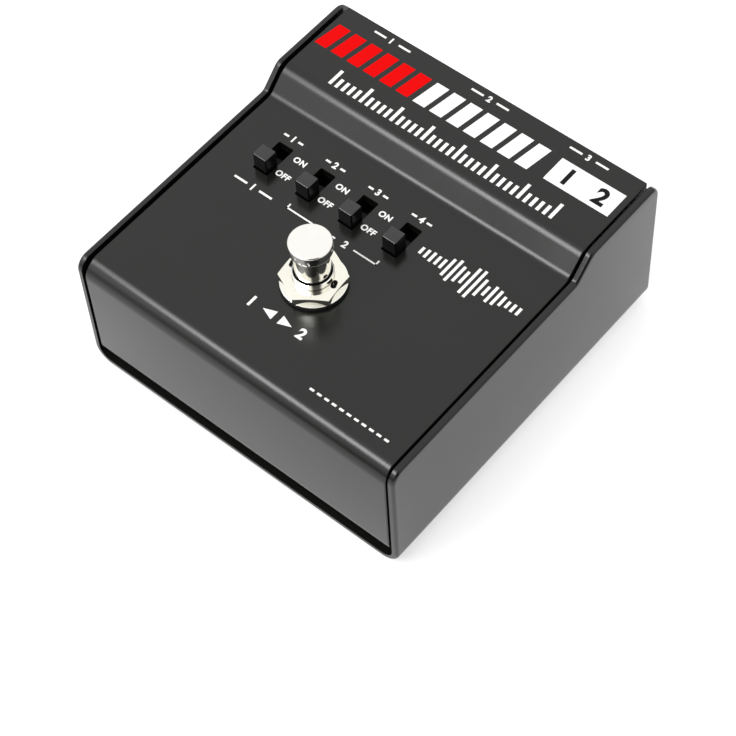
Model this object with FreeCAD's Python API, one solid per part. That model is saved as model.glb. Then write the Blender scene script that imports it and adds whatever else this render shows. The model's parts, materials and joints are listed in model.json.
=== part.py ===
"""AB footswitch: a floor box that sends one of two balanced lines to one output.

Millimetres. +Z is up, +X is to the player's right and +Y is to the rear, where the
connectors are. The origin is under the middle of the non-slip pad, on the floor.
Each function below makes one piece, and each piece is written to its own file.
"""
import FreeCAD, Part
import math
import os

# Case sheet metal
case_width = 116.0
case_depth = 118.4
sheet_thickness = 2.0
front_plate_height = 46.8
rear_plate_height = 53.6
step_head_from_rear = 31.3
step_run = 7.0
base_bend_radius = 6.0
plate_corner_radius = 4.4
plate_step_radius = 2.4
plate_edge_round = 1.0

# Top cover, folded from one sheet
cover_side_gap = 1.0
cover_drop = 0.4
cover_rear_setback = 1.8
cover_inside_bend = 4.8
cover_front_bend = 3.9
cover_foot_length = 11.5
cover_foot_corner = 4.6
cover_floor_gap = 0.4
cover_edge_round = 0.5

# Rear panel, an upright that stands back under the cover
panel_recess = 10.0
panel_inside_bend = 1.0
panel_foot_length = 8.0
panel_top_flange = 8.0
panel_lip_corner = 3.0
panel_side_gap = 1.0
panel_top_gap = 0.2

# Non-slip pad under the base
pad_thickness = 1.5
pad_side_margin = 0.5
pad_end_margin = 2.0
pad_corner_radius = 3.0
pad_screw_clearance = 0.9

# Footswitch
switch_ahead_of_slides = 26.5
bushing_radius = 6.0
bushing_rise = 6.3
bushing_wall = 0.7
bushing_plate_size = 18.6
bushing_plate_thickness = 1.2
bushing_lip_round = 0.2
bushing_mouth_radius = 5.7
bushing_mouth_depth = 1.0
bushing_plain_length = 1.9
thread_pitch = 0.9
thread_depth = 0.35
button_running_gap = 0.05
button_head_radius = 6.3
button_head_height = 3.5
button_top_rise = 19.1
button_edge_round = 0.45
button_travel = 5.0
button_stop_gap = 0.3
button_collar_height = 2.0
switch_body_height = 16.0
switch_body_floor = 3.0
switch_body_corner = 1.0
body_cavity_radius = 6.3
body_cavity_gap = 0.3
spring_wire_radius = 0.4
spring_mean_radius = 4.3
spring_turns = 5.5
nut_across_flats = 17.4
nut_height = 2.9
nut_flat_radius = 7.5
nut_chamfer_degrees = 16.0
nut_foot_chamfer = 0.3
spanner_hole_radius = 0.85
spanner_hole_length = 2.9
spanner_hole_depth = 1.6
spanner_hole_circle = 6.95
spanner_hole_angle = 6.5
spanner_hole_turn = 105.0
nut_turn_angle = 35.6
top_washer_radius = 9.8
top_washer_thickness = 1.4
top_washer_edge_round = 0.25
inner_nut_across_flats = 17.0
inner_nut_height = 2.6
lock_washer_radius = 8.4
lock_washer_thickness = 0.8
lock_washer_notches = 12
lock_washer_notch_depth = 1.3
lock_washer_notch_width = 1.1
inner_nut_to_plate = 1.4
thread_clearance = 0.05
lug_width = 2.4
lug_thickness = 0.6
lug_length = 6.5
lug_column_pitch = 5.2
lug_row_pitch = 9.0
lug_eye_radius = 0.6

# Slide switches, in one row across the cover
slide_count = 4
slide_pitch = 16.0
first_slide_x = -38.3
slide_ahead_of_step = 17.6
handle_width = 5.0
handle_length = 4.8
handle_rise = 5.8
handle_edge_round = 0.45
lever_travel = 6.4
handle_side_gap = 0.3
handle_end_gap = 0.4
window_corner_radius = 0.5
frame_width = 9.0
frame_length = 20.0
frame_height = 8.0
frame_wall = 0.6
frame_deck_gap = 0.3
frame_slot_gap = 0.3
carriage_height = 3.4
carriage_side_gap = 0.08
carriage_end_gap = 0.35
carriage_top_gap = 0.08
wafer_thickness = 1.2
pin_radius = 0.45
pin_row_pitch = 5.0
pin_column_pitch = 5.0
pin_tail = 1.6

# Panel connectors
connector_pitch = 36.0
connector_height = 27.5
flange_width = 26.0
flange_height = 31.0
flange_thickness = 2.0
flange_corner_radius = 2.5
flange_edge_round = 0.4
barrel_radius = 11.9
barrel_length = 19.0
barrel_hole_gap = 0.1
socket_bore_radius = 10.0
plug_cup_radius = 9.4
insert_disc_thickness = 3.4
insert_disc_gap = 0.05
socket_core_radius = 7.8
socket_core_setback = 0.8
contact_circle_radius = 4.3
contact_hole_radius = 1.3
contact_sleeve_radius = 1.15
contact_sleeve_bore = 0.85
contact_depth = 12.0
contact_setback = 1.0
plug_pin_radius = 1.15
plug_pin_setback = 2.5
tail_radius = 0.9
tail_length = 5.0
latch_width = 6.0
latch_side_gap = 0.3
latch_thickness = 1.6
latch_height = 10.2
latch_pivot_depth = 13.5
latch_pad_height = 3.9
latch_pad_depth = 2.4
latch_pad_proud = 1.4
latch_root = 1.0
latch_slot_rise = 0.5
latch_pin_radius = 0.65
latch_pin_reach = 1.2
latch_pin_gap = 0.05
flange_screw_x = 9.5
flange_screw_z = 12.0

# Screws, nuts and spacers
small_screw_radius = 1.5
small_head_radius = 2.75
small_head_height = 1.8
flange_screw_length = 8.0
cover_screw_radius = 2.0
cover_screw_length = 9.0
cover_head_radius = 3.8
cover_head_height = 1.3
recess_width = 0.7
recess_depth = 0.7
screw_nut_across_flats = 5.5
screw_nut_height = 2.2
cover_standoff_across_flats = 6.0
front_standoff_from_side = 14.0
front_standoff_from_front = 16.0
rear_standoff_x = 18.0
rear_standoff_from_rear = 23.0
standoff_hole_depth = 10.0
panel_screw_from_side = 12.0
panel_screw_length = 6.0

# Circuit boards and what they carry
board_thickness = 1.6
board_corner_radius = 1.5
main_board_width = 92.0
main_board_from_front = 24.0
main_board_behind_gap = 5.5
main_spacer_height = 5.0
board_spacer_across_flats = 5.0
board_spacer_inset = 3.4
board_screw_length = 5.0
switch_board_side_margin = 7.0
switch_board_end_margin = 3.0
transformer_size = 19.0
transformer_height = 18.0
transformer_x = 24.0
transformer_from_board_back = 21.0
transformer_edge_round = 1.6
capacitor_count = 4
capacitor_pitch = 10.0
capacitor_width = 7.5
capacitor_depth = 4.0
capacitor_height = 7.0
capacitor_gap = 3.0
capacitor_row_start = -42.0
header_width = 12.0
header_depth = 5.0
header_height = 6.0
header_x = 6.0
ribbon_width = 10.0
ribbon_thickness = 0.9
ribbon_bow = 4.0
header_inset = 1.0
signal_wire_radius = 0.65
signal_wire_bend = 3.0
signal_wire_reach = 4.0

# Places worked out from the sizes above
front_edge = -case_depth / 2
rear_edge = case_depth / 2
base_underside = pad_thickness
floor_top = base_underside + sheet_thickness
low_plate_top = base_underside + front_plate_height
high_plate_top = base_underside + rear_plate_height
low_deck = low_plate_top - cover_drop
high_deck = high_plate_top - cover_drop
low_deck_underside = low_deck - sheet_thickness
high_deck_underside = high_deck - sheet_thickness
step_head = rear_edge - step_head_from_rear
step_foot = step_head - step_run
cover_width = case_width - 2 * (sheet_thickness + cover_side_gap)
cover_rear = rear_edge - cover_rear_setback
cover_foot_underside = floor_top + cover_floor_gap
panel_face = rear_edge - panel_recess
slide_y = step_foot - slide_ahead_of_step
switch_y = slide_y - switch_ahead_of_slides
window_width = handle_width + 2 * handle_side_gap
window_length = handle_length + lever_travel + 2 * handle_end_gap
frame_top = low_deck_underside - frame_deck_gap
switch_board_top = frame_top - frame_height
rear_standoff_y = rear_edge - rear_standoff_from_rear
front_standoff_x = case_width / 2 - front_standoff_from_side
panel_screw_x = case_width / 2 - panel_screw_from_side
main_board_front = front_edge + main_board_from_front
main_board_back = (rear_standoff_y - cover_standoff_across_flats / math.sqrt(3)
                   - main_board_behind_gap)
main_board_underside = floor_top + main_spacer_height
main_board_top = main_board_underside + board_thickness
bore_radius = bushing_radius - bushing_wall
bushing_thread_bottom = (low_deck_underside - lock_washer_thickness - inner_nut_height
                         - inner_nut_to_plate)
plate_underside = bushing_thread_bottom - bushing_plate_thickness
body_underside = plate_underside - switch_body_height
cavity_floor = body_underside + switch_body_floor
slide_centres = [first_slide_x + slide_pitch * index for index in range(slide_count)]
connector_centres = [-connector_pitch, 0.0, connector_pitch]
contact_places = [(contact_circle_radius * math.cos(math.radians(degrees)),
                   contact_circle_radius * math.sin(math.radians(degrees)))
                  for degrees in (30, 150, 270)]
pieces = {}


def vec(x, y, z):
    return FreeCAD.Vector(x, y, z)


def box(low, high):
    size = vec(*high) - vec(*low)
    return Part.makeBox(size.x, size.y, size.z, vec(*low))


def rod(radius, start, end):
    """Cylinder between two points."""
    axis = vec(*end) - vec(*start)
    return Part.makeCylinder(radius, axis.Length, vec(*start), axis)


def group(solids):
    return Part.makeCompound(solids)


def rounded_loop(points, radii, place):
    """Closed wire through flat points, with each corner an arc of its own radius."""
    corners = []
    for index, radius in enumerate(radii):
        here = vec(*points[index], 0)
        to_last = (vec(*points[index - 1], 0) - here).normalize()
        to_next = (vec(*points[(index + 1) % len(points)], 0) - here).normalize()
        if radius == 0:
            corners.append((here, None, here))
            continue
        half = to_last.getAngle(to_next) / 2
        reach = radius / math.tan(half)
        middle = (to_last + to_next).normalize()
        crown = here + middle * (radius / math.sin(half) - radius)
        corners.append((here + to_last * reach, crown, here + to_next * reach))
    edges = []
    for index, (enter, crown, leave) in enumerate(corners):
        if crown is not None:
            edges.append(Part.Arc(place(enter), place(crown), place(leave)).toShape())
        following = corners[(index + 1) % len(corners)][0]
        if leave.distanceToPoint(following) > 1e-6:
            edges.append(Part.LineSegment(place(leave), place(following)).toShape())
    return Part.Wire(edges)


def prism(points, radii, plane, start, length):
    """Solid with a rounded outline drawn in one plane and carried along the third axis."""
    places = {"xy": lambda p: vec(p.x, p.y, start),
              "xz": lambda p: vec(p.x, start, p.y),
              "yz": lambda p: vec(start, p.x, p.y)}
    steps = {"xy": vec(0, 0, length), "xz": vec(0, length, 0), "yz": vec(length, 0, 0)}
    outline = Part.Face(rounded_loop(points, radii, places[plane]))
    return outline.extrude(steps[plane])


def plate(centre, size, corner, plane, start, length):
    """Rectangular plate with four equal corner radii."""
    half = (size[0] / 2, size[1] / 2)
    signs = ((-1, -1), (1, -1), (1, 1), (-1, 1))
    points = [(centre[0] + sx * half[0], centre[1] + sy * half[1]) for sx, sy in signs]
    return prism(points, [corner] * 4, plane, start, length)


def left_of(path, distance):
    """Path moved sideways to its left by one distance, with mitred corners."""
    points = [vec(*point, 0) for point in path]
    ways = [(b - a).normalize() for a, b in zip(points, points[1:])]
    normals = [vec(-way.y, way.x, 0) for way in ways]
    moved = []
    for index, point in enumerate(points):
        before = normals[max(index - 1, 0)]
        after = normals[min(index, len(normals) - 1)]
        mitre = before + after
        shift = mitre * (distance * 2 / mitre.Length ** 2)
        moved.append(((point + shift).x, (point + shift).y))
    return moved


def folded_sheet(path, inside_bends, plane, start, length):
    """Bent sheet: its outer line is the path, and the metal lies to the path's left."""
    other = left_of(path, sheet_thickness)
    near_radii = [0.0]
    far_radii = [0.0]
    for index, bend in enumerate(inside_bends):
        a, b, c = (vec(*path[index + k], 0) for k in range(3))
        turns_left = (b - a).cross(c - b).z > 0
        near_radii.append(bend + sheet_thickness if turns_left else bend)
        far_radii.append(bend if turns_left else bend + sheet_thickness)
    outline = list(path) + other[::-1]
    radii = near_radii + [0.0, 0.0] + far_radii[:0:-1] + [0.0]
    return prism(outline, radii, plane, start, length)


def hexagon(across_flats, centre, bottom, height, turn=0.0):
    radius = across_flats / math.sqrt(3)
    corners = []
    for index in range(6):
        angle = math.radians(turn + 60 * index)
        corners.append((centre[0] + radius * math.cos(angle), centre[1] + radius * math.sin(angle)))
    return prism(corners, [0.0] * 6, "xy", bottom, height)


def turned(profile, centre):
    """Solid of revolution from (radius, height) points about an upright axis."""
    points = [vec(centre[0] + radius, centre[1], height) for radius, height in profile]
    outline = Part.Face(Part.makePolygon(points + [points[0]]))
    return outline.revolve(vec(*centre, 0), vec(0, 0, 1), 360)


def rounded(solid, radius, chosen):
    """Fillet on the edges that the test picks by their middle point."""
    picked = [edge for edge in solid.Edges if chosen(edge.CenterOfMass)]
    return solid.makeFillet(radius, picked)


def near(value, target):
    return abs(value - target) < 1e-4


def cross_recess(centre, height, reach, depth):
    """Two crossed slots for a screwdriver; a positive depth cuts upwards."""
    low, high = sorted((height, height + depth))
    half = recess_width / 2
    x, y = centre
    first = box((x - reach, y - half, low), (x + reach, y + half, high))
    second = box((x - half, y - reach, low), (x + half, y + reach, high))
    return first.fuse(second)


def bend_path(points, radius):
    """Straight runs joined by tangent arcs of one radius."""
    edges = []
    start = vec(*points[0])
    for index in range(1, len(points) - 1):
        here = vec(*points[index])
        to_last = (vec(*points[index - 1]) - here).normalize()
        to_next = (vec(*points[index + 1]) - here).normalize()
        half = to_last.getAngle(to_next) / 2
        reach = radius / math.tan(half)
        crown = here + (to_last + to_next).normalize() * (radius / math.sin(half) - radius)
        edges.append(Part.LineSegment(start, here + to_last * reach).toShape())
        edges.append(Part.Arc(here + to_last * reach, crown, here + to_next * reach).toShape())
        start = here + to_next * reach
    edges.append(Part.LineSegment(start, vec(*points[-1])).toShape())
    return Part.Wire(edges)


def tube_along(spine, radius, start, way):
    """Round wire swept along a path."""
    section = Part.Wire(Part.Circle(start, way, radius).toShape())
    sweep = Part.BRepOffsetAPI.MakePipeShell(spine)
    sweep.add(section)
    sweep.build()
    sweep.makeSolid()
    return sweep.shape()


def plate_outline():
    """Side view of the case: low at the front, a sloped step, high at the rear."""
    points = [(front_edge, base_underside - 1), (rear_edge, base_underside - 1),
              (rear_edge, high_plate_top), (step_head, high_plate_top),
              (step_foot, low_plate_top), (front_edge, low_plate_top)]
    radii = [0.0, 0.0, plate_corner_radius, plate_corner_radius, plate_step_radius,
             plate_corner_radius]
    return prism(points, radii, "yz", -case_width, 2 * case_width)


def on_outer_skin(point):
    """True where a point lies on the outside of the bent base."""
    beyond_x = abs(point.x) - (case_width / 2 - base_bend_radius)
    below_z = base_underside + base_bend_radius - point.z
    if beyond_x > 0 and below_z > 0:
        return near(math.hypot(beyond_x, below_z), base_bend_radius)
    return near(abs(point.x), case_width / 2) or near(point.z, base_underside)


def skin_border(edge):
    """True for the sheared edges round the outside of the base, not for its bend lines."""
    first, last = edge.ParameterRange
    samples = [edge.valueAt(first + (last - first) * share) for share in (0.1, 0.5, 0.9)]
    if not all(on_outer_skin(point) for point in samples):
        return False
    runs_back = near(samples[0].x, samples[2].x) and near(samples[0].z, samples[2].z)
    bend_top = near(samples[0].z, base_underside + base_bend_radius)
    bend_foot = near(samples[0].z, base_underside)
    return not (runs_back and (bend_top or bend_foot))


def base_channel():
    """Bottom and both side plates, bent from one sheet with large lower radii."""
    half = case_width / 2
    spare = plate_corner_radius
    path = [(-half, high_plate_top + spare), (-half, base_underside),
            (half, base_underside), (half, high_plate_top + spare)]
    bend = base_bend_radius - sheet_thickness
    channel = folded_sheet(path, [bend, bend], "xz", front_edge - spare, case_depth + 2 * spare)
    channel = channel.common(plate_outline())
    borders = [edge for edge in channel.Edges if skin_border(edge)]
    channel = channel.makeFillet(plate_edge_round, borders)
    for x, y in cover_standoff_places():
        hole = rod(cover_screw_radius + thread_clearance, (x, y, 0), (x, y, floor_top + 1))
        channel = channel.cut(hole)
    for x, y in panel_screw_places():
        hole = rod(small_screw_radius + thread_clearance, (x, y, 0), (x, y, floor_top + 1))
        channel = channel.cut(hole)
    return channel


def top_cover():
    """Front, lower deck, step and upper deck, folded from one sheet."""
    path = [(cover_rear, high_deck), (step_head, high_deck), (step_foot, low_deck),
            (front_edge, low_deck), (front_edge, cover_foot_underside),
            (front_edge + cover_foot_length, cover_foot_underside)]
    half = cover_width / 2
    bends = [cover_inside_bend, cover_inside_bend, cover_front_bend, cover_inside_bend]
    cover = folded_sheet(path, bends, "yz", -half, cover_width)
    outline = prism([(-half, floor_top), (half, floor_top), (half, high_plate_top),
                     (-half, high_plate_top)],
                    [cover_foot_corner, cover_foot_corner, 0.0, 0.0], "xz", front_edge, case_depth)
    cover = cover.common(outline)
    cover = rounded(cover, cover_edge_round, lambda p: near(abs(p.x), half))
    hole_radius = bushing_radius + 2 * thread_clearance
    cover = cover.cut(rod(hole_radius, (0, switch_y, 0), (0, switch_y, 2 * low_deck)))
    for x in slide_centres:
        window = plate((x, slide_y), (window_width, window_length), window_corner_radius,
                       "xy", switch_board_top, frame_height * 2)
        cover = cover.cut(window)
    return cover


def rear_panel():
    """Upright that carries the connectors, with a foot, a top flange and a lip at each side.

    The lips reach back along the side plates and close the slots beside the cover from below.
    """
    top = high_deck_underside - panel_top_gap
    path = [(panel_face - panel_foot_length, floor_top), (panel_face, floor_top),
            (panel_face, top), (panel_face - panel_top_flange, top)]
    width = case_width - 2 * (sheet_thickness + panel_side_gap)
    panel = folded_sheet(path, [panel_inside_bend] * 2, "yz", -width / 2, width)
    clear_bend = base_bend_radius - sheet_thickness + 1
    half = width / 2
    outline = prism([(-half, floor_top), (half, floor_top), (half, top), (-half, top)],
                    [clear_bend, clear_bend, 0.0, 0.0], "xz", front_edge, case_depth)
    panel = panel.common(outline)
    low = floor_top + clear_bend
    web = panel_face - sheet_thickness
    corners = [(web, low), (cover_rear, low), (cover_rear, top), (web, top)]
    for side in (-half, half - sheet_thickness):
        lip = prism(corners, [0.0, panel_lip_corner, 0.0, 0.0], "yz", side, sheet_thickness)
        panel = panel.fuse(lip)
    panel = panel.removeSplitter()
    for x in connector_centres:
        hole = rod(barrel_radius + barrel_hole_gap, (x, 0, connector_height),
                   (x, rear_edge, connector_height))
        panel = panel.cut(hole)
    for x, z in flange_screw_places():
        hole = rod(small_screw_radius + thread_clearance, (x, 0, z), (x, rear_edge, z))
        panel = panel.cut(hole)
    for x, y in panel_screw_places():
        hole = rod(small_screw_radius + thread_clearance, (x, y, 0), (x, y, 2 * floor_top))
        panel = panel.cut(hole)
    return panel


def non_slip_pad():
    """Sheet of rubber over the whole flat of the base, holed for the screw heads."""
    width = case_width - 2 * (base_bend_radius + pad_side_margin)
    depth = case_depth - 2 * pad_end_margin
    pad = plate((0, 0), (width, depth), pad_corner_radius, "xy", 0, pad_thickness)
    for x, y in cover_standoff_places():
        pad = pad.cut(rod(cover_head_radius + pad_screw_clearance, (x, y, -1),
                          (x, y, pad_thickness + 1)))
    for x, y in panel_screw_places():
        pad = pad.cut(rod(small_head_radius + pad_screw_clearance, (x, y, -1),
                          (x, y, pad_thickness + 1)))
    return pad


def cover_standoff_places():
    """Two under the front of the cover, two between the connectors."""
    front_y = front_edge + front_standoff_from_front
    return [(-front_standoff_x, front_y), (front_standoff_x, front_y),
            (-rear_standoff_x, rear_standoff_y), (rear_standoff_x, rear_standoff_y)]


def panel_screw_places():
    y = panel_face - panel_foot_length / 2 - panel_inside_bend / 2
    return [(-panel_screw_x, y), (panel_screw_x, y)]


def flange_screw_places():
    """Two screws to a connector, in opposite corners of its flange."""
    places = []
    for x in connector_centres:
        places.append((x - flange_screw_x, connector_height + flange_screw_z))
        places.append((x + flange_screw_x, connector_height - flange_screw_z))
    return places


def cover_standoffs():
    """Hexagonal pillars pressed into the cover, with a blind thread at the foot."""
    pillars = []
    for x, y in cover_standoff_places():
        top = low_deck_underside if y < step_foot else high_deck_underside
        pillar = hexagon(cover_standoff_across_flats, (x, y), floor_top, top - floor_top)
        hole = rod(cover_screw_radius + thread_clearance, (x, y, floor_top - 1),
                   (x, y, floor_top + standoff_hole_depth))
        pillars.append(pillar.cut(hole))
    return group(pillars)


def screw_from_below(x, y, seat, radius, length, head_radius, head_height):
    """Low-headed screw whose head lies under its seat and whose shank points up."""
    head = rod(head_radius, (x, y, seat - head_height), (x, y, seat))
    head = rounded(head, head_height / 3, lambda p: near(p.z, seat - head_height))
    screw = head.fuse(rod(radius, (x, y, seat), (x, y, seat + length)))
    return screw.cut(cross_recess((x, y), seat - head_height, head_radius / 2, recess_depth))


def screw_from_above(x, y, seat, radius, length, head_radius, head_height):
    head = rod(head_radius, (x, y, seat), (x, y, seat + head_height))
    head = rounded(head, head_height / 3, lambda p: near(p.z, seat + head_height))
    screw = head.fuse(rod(radius, (x, y, seat - length), (x, y, seat)))
    return screw.cut(cross_recess((x, y), seat + head_height, head_radius / 2, -recess_depth))


def cover_screws():
    return group([screw_from_below(x, y, base_underside, cover_screw_radius, cover_screw_length,
                                   cover_head_radius, cover_head_height)
                  for x, y in cover_standoff_places()])


def panel_screws():
    return group([screw_from_below(x, y, base_underside, small_screw_radius, panel_screw_length,
                                   small_head_radius, cover_head_height)
                  for x, y in panel_screw_places()])


def footswitch_bushing():
    """Threaded neck, plain at its mouth, with a square plate at its foot."""
    top = low_deck + bushing_rise
    profile = [(bore_radius, plate_underside), (bushing_radius - thread_depth, plate_underside)]
    height = bushing_thread_bottom + bushing_plate_thickness
    while height + thread_pitch < top - bushing_plain_length:
        profile.append((bushing_radius - thread_depth, height))
        profile.append((bushing_radius, height + thread_pitch / 2))
        height += thread_pitch
    profile.append((bushing_radius - thread_depth, height))
    profile.append((bushing_radius, height + thread_depth))
    profile.append((bushing_radius, top - bushing_lip_round))
    profile.append((bushing_radius - bushing_lip_round, top))
    profile.append((bushing_mouth_radius, top))
    profile.append((bushing_mouth_radius, top - bushing_mouth_depth))
    profile.append((bore_radius, top - bushing_mouth_depth))
    neck = turned(profile, (0, switch_y))
    foot = plate((0, switch_y), (bushing_plate_size, bushing_plate_size), switch_body_corner,
                 "xy", plate_underside, bushing_plate_thickness)
    foot = foot.cut(rod(bore_radius, (0, switch_y, plate_underside - 1),
                        (0, switch_y, bushing_thread_bottom + 1)))
    return neck.fuse(foot)


def footswitch_button():
    """One turned piece: flat head, long stem and the collar that stops it."""
    stem_radius = bore_radius - button_running_gap
    top = low_deck + button_top_rise
    head_foot = top - button_head_height
    collar_top = plate_underside - button_stop_gap
    collar_radius = body_cavity_radius - body_cavity_gap
    head = rod(button_head_radius, (0, switch_y, head_foot), (0, switch_y, top))
    head = rounded(head, button_edge_round, lambda p: near(p.z, top))
    stem = rod(stem_radius, (0, switch_y, collar_top), (0, switch_y, head_foot))
    collar = rod(collar_radius, (0, switch_y, collar_top - button_collar_height),
                 (0, switch_y, collar_top))
    return head.fuse(stem).fuse(collar)


def footswitch_body():
    """Moulded box under the neck, with the well that the button and spring work in."""
    size = bushing_plate_size
    body = plate((0, switch_y), (size, size), switch_body_corner, "xy", body_underside,
                 switch_body_height)
    well = rod(body_cavity_radius, (0, switch_y, cavity_floor), (0, switch_y, plate_underside + 1))
    return body.cut(well)


def helix_point(radius, pitch, centre, angle):
    return vec(centre[0] + radius * math.cos(angle), centre[1] + radius * math.sin(angle),
               centre[2] + pitch * angle / (2 * math.pi))


def helix_way(radius, pitch, angle):
    way = vec(-radius * math.sin(angle), radius * math.cos(angle), pitch / (2 * math.pi))
    return way.normalize()


def arc_from(start, way, end):
    """Arc that leaves a point in a given direction and ends at another."""
    chord = end - start
    reach = chord.Length ** 2 / (2 * chord.dot(way))
    corner = start + way * reach
    middle = (start + end) / 2
    rise = (corner - middle).Length
    half_turn = math.atan2(rise, chord.Length / 2)
    sagitta = chord.Length / 2 * math.tan(half_turn / 2)
    crown = middle + (corner - middle) * (sagitta / rise)
    return Part.Arc(start, crown, end).toShape()


def two_arcs(start, start_way, end, end_way):
    """Two arcs that meet tangentially between two points with given directions."""
    gap = end - start
    ways = start_way + end_way
    curve = 2 * (1 - start_way.dot(end_way))
    slope = 2 * gap.dot(ways)
    reach = (-slope + math.sqrt(slope ** 2 + 4 * curve * gap.dot(gap))) / (2 * curve)
    joint = (start + end + (start_way - end_way) * reach) / 2
    second = arc_from(end, end_way * -1, joint)
    return [arc_from(start, start_way, joint), second]


def footswitch_spring():
    """Coil between the floor of the well and the button's collar."""
    foot = cavity_floor + spring_wire_radius
    head = plate_underside - button_stop_gap - button_collar_height - spring_wire_radius
    pitch = (head - foot) / spring_turns
    centre = (0, switch_y, foot)
    quarters = int(round(spring_turns * 4))
    angles = [math.pi / 2 * index for index in range(quarters + 1)]
    edges = []
    for a, b in zip(angles, angles[1:]):
        edges += two_arcs(helix_point(spring_mean_radius, pitch, centre, a),
                          helix_way(spring_mean_radius, pitch, a),
                          helix_point(spring_mean_radius, pitch, centre, b),
                          helix_way(spring_mean_radius, pitch, b))
    start = helix_point(spring_mean_radius, pitch, centre, 0)
    way = helix_way(spring_mean_radius, pitch, 0)
    spring = tube_along(Part.Wire(Part.__sortEdges__(edges)), spring_wire_radius, start, way)
    print("spring least gap between turns", round(spring_gap(pitch, centre), 3))
    return spring


def spring_gap(pitch, centre):
    """Least distance between the wire's surface on one turn and on the next."""
    steps = [math.pi / 24 * index for index in range(int(spring_turns * 48))]
    points = [helix_point(spring_mean_radius, pitch, centre, angle) for angle in steps]
    least = min(a.distanceToPoint(b) for index, a in enumerate(points)
                for b in points[index + 24:])
    return least - 2 * spring_wire_radius


def footswitch_top_nut():
    """Hexagonal nut with a coned top and two oval spanner holes."""
    bottom = low_deck + top_washer_thickness
    top = bottom + nut_height
    corner = nut_across_flats / math.sqrt(3)
    drop = (corner - nut_flat_radius) * math.tan(math.radians(nut_chamfer_degrees))
    centre = (0, switch_y)
    nut = hexagon(nut_across_flats, centre, bottom, nut_height, nut_turn_angle)
    envelope = turned([(0, bottom), (corner - nut_foot_chamfer, bottom),
                       (corner, bottom + nut_foot_chamfer / 2), (corner, top - drop),
                       (nut_flat_radius, top), (0, top)], centre)
    nut = nut.common(envelope)
    nut = nut.cut(rod(bushing_radius + thread_clearance, (0, switch_y, bottom - 1),
                      (0, switch_y, top + 1)))
    for half_turn in (0, 180):
        hole = plate((0, 0), (spanner_hole_length, 2 * spanner_hole_radius),
                     spanner_hole_radius, "xy", top - spanner_hole_depth, nut_height)
        hole.rotate(vec(0, 0, 0), vec(0, 0, 1), spanner_hole_turn)
        hole.translate(vec(spanner_hole_circle, 0, 0))
        hole.rotate(vec(0, 0, 0), vec(0, 0, 1), spanner_hole_angle + half_turn)
        hole.translate(vec(0, switch_y, 0))
        nut = nut.cut(hole)
    return nut


def washer(outer, thickness, bottom):
    disc = rod(outer, (0, switch_y, bottom), (0, switch_y, bottom + thickness))
    return disc.cut(rod(bushing_radius + 2 * thread_clearance, (0, switch_y, bottom - 1),
                        (0, switch_y, bottom + thickness + 1)))


def footswitch_top_washer():
    disc = washer(top_washer_radius, top_washer_thickness, low_deck)
    top = low_deck + top_washer_thickness
    return rounded(disc, top_washer_edge_round, lambda p: near(p.z, top) and near(p.x, 0)
                   and near(p.y, switch_y))


def footswitch_lock_washer():
    """Toothed washer against the underside of the cover."""
    bottom = low_deck_underside - lock_washer_thickness
    ring = washer(lock_washer_radius, lock_washer_thickness, bottom)
    inner = lock_washer_radius - lock_washer_notch_depth
    half = lock_washer_notch_width / 2
    for index in range(lock_washer_notches):
        notch = box((inner, -half, bottom - 1),
                    (lock_washer_radius + 1, half, low_deck_underside + 1))
        notch.rotate(vec(0, 0, 0), vec(0, 0, 1), 360 / lock_washer_notches * index)
        notch.translate(vec(0, switch_y, 0))
        ring = ring.cut(notch)
    return ring


def footswitch_inner_nut():
    top = low_deck_underside - lock_washer_thickness
    nut = hexagon(inner_nut_across_flats, (0, switch_y), top - inner_nut_height, inner_nut_height)
    return nut.cut(rod(bushing_radius + thread_clearance,
                       (0, switch_y, top - inner_nut_height - 1), (0, switch_y, top + 1)))


def footswitch_terminals():
    """Six solder lugs in two rows of three, each with an eye."""
    lugs = []
    for column in (-1, 0, 1):
        for row in (-0.5, 0.5):
            x = column * lug_column_pitch
            y = switch_y + row * lug_row_pitch
            lug = box((x - lug_width / 2, y - lug_thickness / 2, body_underside - lug_length),
                      (x + lug_width / 2, y + lug_thickness / 2, body_underside))
            eye_z = body_underside - lug_length + lug_width / 2
            lugs.append(lug.cut(rod(lug_eye_radius, (x, y - 1, eye_z), (x, y + 1, eye_z))))
    return group(lugs)


def slide_frame(x):
    """Folded steel box, open below, with a slot for the handle."""
    bottom = switch_board_top
    shell = plate((x, slide_y), (frame_width, frame_length), frame_wall, "xy", bottom, frame_height)
    inside = box((x - frame_width / 2 + frame_wall, slide_y - frame_length / 2 + frame_wall,
                  bottom - 1),
                 (x + frame_width / 2 - frame_wall, slide_y + frame_length / 2 - frame_wall,
                  frame_top - frame_wall))
    slot_width = handle_width + 2 * frame_slot_gap
    slot = box((x - slot_width / 2, slide_y - window_length / 2, bottom),
               (x + slot_width / 2, slide_y + window_length / 2, frame_top + 1))
    return shell.cut(inside).cut(slot)


def slide_wafer(x):
    """Insulating strip that closes the frame's open side and carries the pins."""
    gap = thread_clearance
    half_width = frame_width / 2 - frame_wall - gap
    half_length = frame_length / 2 - frame_wall - gap
    return box((x - half_width, slide_y - half_length, switch_board_top),
               (x + half_width, slide_y + half_length, switch_board_top + wafer_thickness))


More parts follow.
